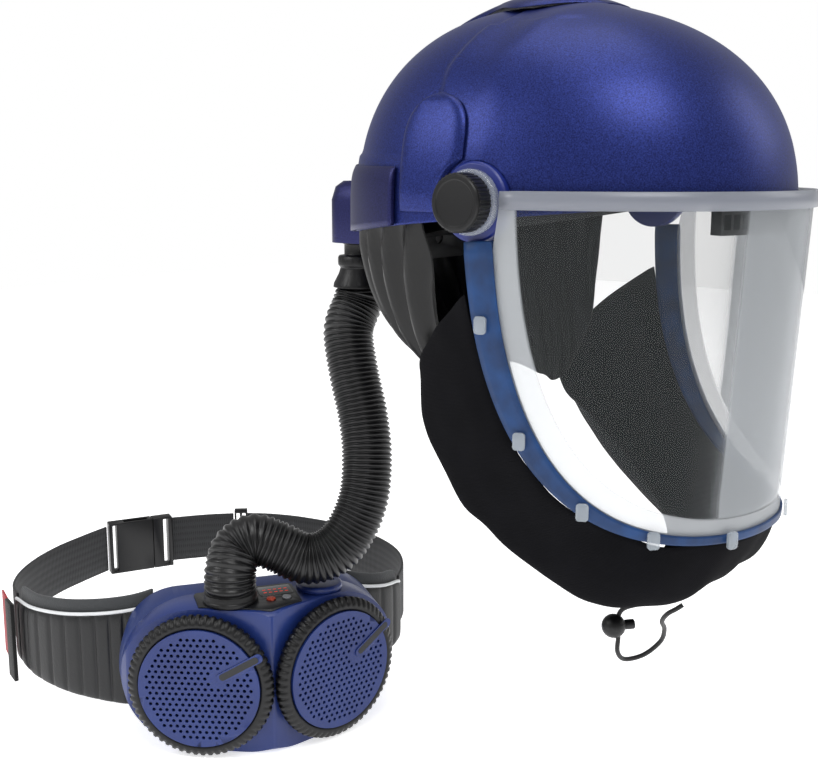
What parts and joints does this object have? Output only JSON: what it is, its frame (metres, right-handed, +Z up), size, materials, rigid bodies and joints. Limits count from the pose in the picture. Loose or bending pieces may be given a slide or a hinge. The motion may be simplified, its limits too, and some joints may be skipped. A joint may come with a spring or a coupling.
{
  "type": "powered air respirator",
  "caption": "Safety helmet with a lifting clear visor and cloth neck seal, fed by a corrugated hose from a belt-worn blower with round filters, battery and waist belt.",
  "frame": {"origin": "midway between the two visor pivots, on the pivot axis, which is where a head would hold the helmet", "axes": "+X to the wearer's left, -Y forward where the visor faces, +Z up to the crown"},
  "size_m": [0.3111, 0.6355, 0.5002],
  "materials": {
    "blue_shell": "glossy",
    "crest_blue": "glossy",
    "violet_plastic": "glossy",
    "pivot_blue": "glossy",
    "steel": "satin",
    "liner_foam": "matte",
    "harness_plastic": "matte",
    "brow_foam": "matte",
    "harness_web": "matte",
    "black_plastic": "satin",
    "hose_rubber": "satin",
    "black_cloth": "satin",
    "clear_lens": "glossy",
    "clear_strip": "glossy",
    "blue_rubber": "satin",
    "black_cord": "matte",
    "blower_blue": "satin",
    "blower_blue_rear": "satin",
    "panel_gray": "satin",
    "window_gray": "glossy",
    "button_red": "matte",
    "button_gray": "matte",
    "motor_metal": "satin",
    "board_green": "satin",
    "filter_paper": "matte",
    "pad_foam": "matte",
    "belt_web": "matte",
    "red_tag": "matte",
    "hook_loop": "matte"
  },
  "bodies": {
    "frame": {"helmet_shell": "blue_shell", "crest_cover": "crest_blue", "rear_band": "violet_plastic", "ear_covers": "blue_shell", "pivot_seats": "pivot_blue", "pivot_studs": "steel", "impact_liner": "liner_foam", "headband": "harness_plastic", "brow_pad": "brow_foam", "crown_straps": "harness_web", "ratchet_housing": "harness_plastic", "brow_vent": "harness_plastic", "air_duct": "harness_plastic", "inlet_cover": "violet_plastic", "inlet_bell": "black_plastic", "hose": "hose_rubber", "rear_cape": "black_cloth", "front_housing": "blower_blue", "rear_housing": "blower_blue_rear", "top_panel": "panel_gray", "display_window": "window_gray", "hose_spout": "black_plastic", "fan_scroll": "harness_plastic", "fan_motor": "motor_metal", "control_board": "board_green", "comfort_pad_left": "pad_foam", "comfort_pad_right": "pad_foam", "belt_webbing": "belt_web", "buckle_socket": "harness_plastic", "tri_glide": "harness_plastic", "belt_tag": "red_tag", "strap_end": "hook_loop"},
    "visor": {"visor_lens": "clear_lens", "top_strip": "clear_strip", "pivot_rings": "clear_strip", "seal_frame": "blue_rubber", "seal_clips": "clear_strip", "neck_seal": "black_cloth", "drawcord": "black_cord", "cord_lock_body": "black_plastic"},
    "cord_lock_plunger": {"cord_lock_plunger": "black_plastic"},
    "knob_right": {"knob_right": "black_plastic"},
    "knob_left": {"knob_left": "black_plastic"},
    "ratchet_knob": {"ratchet_knob": "harness_plastic"},
    "filter_right": {"canister_right": "black_plastic", "filter_media_right": "filter_paper"},
    "filter_left": {"canister_left": "black_plastic", "filter_media_left": "filter_paper"},
    "filter_cover_right": {"filter_cover_right": "blower_blue"},
    "filter_cover_left": {"filter_cover_left": "blower_blue"},
    "power_button": {"power_button": "button_red"},
    "flow_button": {"flow_button": "button_gray"},
    "port_cap": {"port_cap": "blower_blue"},
    "battery_pack": {"battery_pack": "blower_blue_rear"},
    "battery_latch": {"battery_latch": "harness_plastic"},
    "impeller": {"impeller": "harness_plastic"},
    "buckle_plug": {"buckle_plug": "harness_plastic", "plug_webbing": "belt_web"},
    "buckle_prong_upper": {"buckle_prong_upper": "harness_plastic"},
    "buckle_prong_lower": {"buckle_prong_lower": "harness_plastic"}
  },
  "joints": [
    {"name": "visor_lift", "type": "hinge", "parent": "frame", "child": "visor", "pos_m": [0, 0, 0], "axis": [-1, 0, 0], "range_deg": [0, 65], "deforming": ["neck_seal"]},
    {"name": "knob_right_turn", "type": "hinge", "parent": "frame", "child": "knob_right", "pos_m": [-0.123, 0, 0], "axis": [-1, 0, 0], "range_deg": [0, 180]},
    {"name": "knob_left_turn", "type": "hinge", "parent": "frame", "child": "knob_left", "pos_m": [0.123, 0, 0], "axis": [1, 0, 0], "range_deg": [0, 180]},
    {"name": "ratchet_turn", "type": "hinge", "parent": "frame", "child": "ratchet_knob", "pos_m": [0, 0.11, -0.028], "axis": [0, 1, 0], "range_deg": [-360, 360]},
    {"name": "cord_lock_press", "type": "slide", "parent": "visor", "child": "cord_lock_plunger", "axis": [-0.788, 0.6157, 0], "range_m": [0, 0.003], "stiffness_N_per_m": 400, "springref_m": -0.001},
    {"name": "filter_right_unscrew", "type": "hinge", "parent": "frame", "child": "filter_right", "pos_m": [-0.1436, 0.19974, -0.329], "axis": [-0.8387, -0.5446, 0], "range_deg": [0, 90]},
    {"name": "filter_left_unscrew", "type": "hinge", "parent": "frame", "child": "filter_left", "pos_m": [-0.0604, 0.14426, -0.329], "axis": [-0.1805, -0.9836, 0], "range_deg": [0, 90]},
    {"name": "cover_right_pull", "type": "slide", "parent": "filter_right", "child": "filter_cover_right", "axis": [-0.8387, -0.5446, 0], "range_m": [0, 0.025]},
    {"name": "cover_left_pull", "type": "slide", "parent": "filter_left", "child": "filter_cover_left", "axis": [-0.1805, -0.9836, 0], "range_m": [0, 0.025]},
    {"name": "power_press", "type": "slide", "parent": "frame", "child": "power_button", "axis": [0, 0, -1], "range_m": [0, 0.0008], "stiffness_N_per_m": 1500, "springref_m": -0.0005},
    {"name": "flow_press", "type": "slide", "parent": "frame", "child": "flow_button", "axis": [0, 0, -1], "range_m": [0, 0.0008], "stiffness_N_per_m": 1500, "springref_m": -0.0005},
    {"name": "port_cap_turn", "type": "hinge", "parent": "frame", "child": "port_cap", "pos_m": [-0.05041, 0.17366, -0.2775], "axis": [0, 0, 1], "range_deg": [0, 90]},
    {"name": "battery_slide", "type": "slide", "parent": "frame", "child": "battery_pack", "axis": [0, 0, -1], "range_m": [0, 0.04]},
    {"name": "latch_press", "type": "slide", "parent": "frame", "child": "battery_latch", "axis": [-0.5548, -0.832, 0], "range_m": [0, 0.003], "stiffness_N_per_m": 500, "springref_m": -0.002},
    {"name": "fan_spin", "type": "hinge", "parent": "frame", "child": "impeller", "pos_m": [-0.07148, 0.21776, -0.318], "axis": [0.5548, 0.832, 0], "continuous": true},
    {"name": "buckle_pull", "type": "slide", "parent": "frame", "child": "buckle_plug", "axis": [0.9011, -0.4337, 0], "range_m": [0, 0.024], "deforming": ["plug_webbing"]},
    {"name": "prong_upper_squeeze", "type": "hinge", "parent": "buckle_plug", "child": "buckle_prong_upper", "pos_m": [0.0419, 0.47059, -0.3135], "axis": [0.4337, 0.9011, 0], "range_deg": [-16, 0]},
    {"name": "prong_lower_squeeze", "type": "hinge", "parent": "buckle_plug", "child": "buckle_prong_lower", "pos_m": [0.0419, 0.47059, -0.3445], "axis": [0.4337, 0.9011, 0], "range_deg": [0, 16]}
  ],
  "couplings": [
    {"joint": "prong_upper_squeeze", "follows": "buckle_pull", "rad_per_m": -10.833},
    {"joint": "prong_lower_squeeze", "follows": "buckle_pull", "rad_per_m": 10.833}
  ]
}
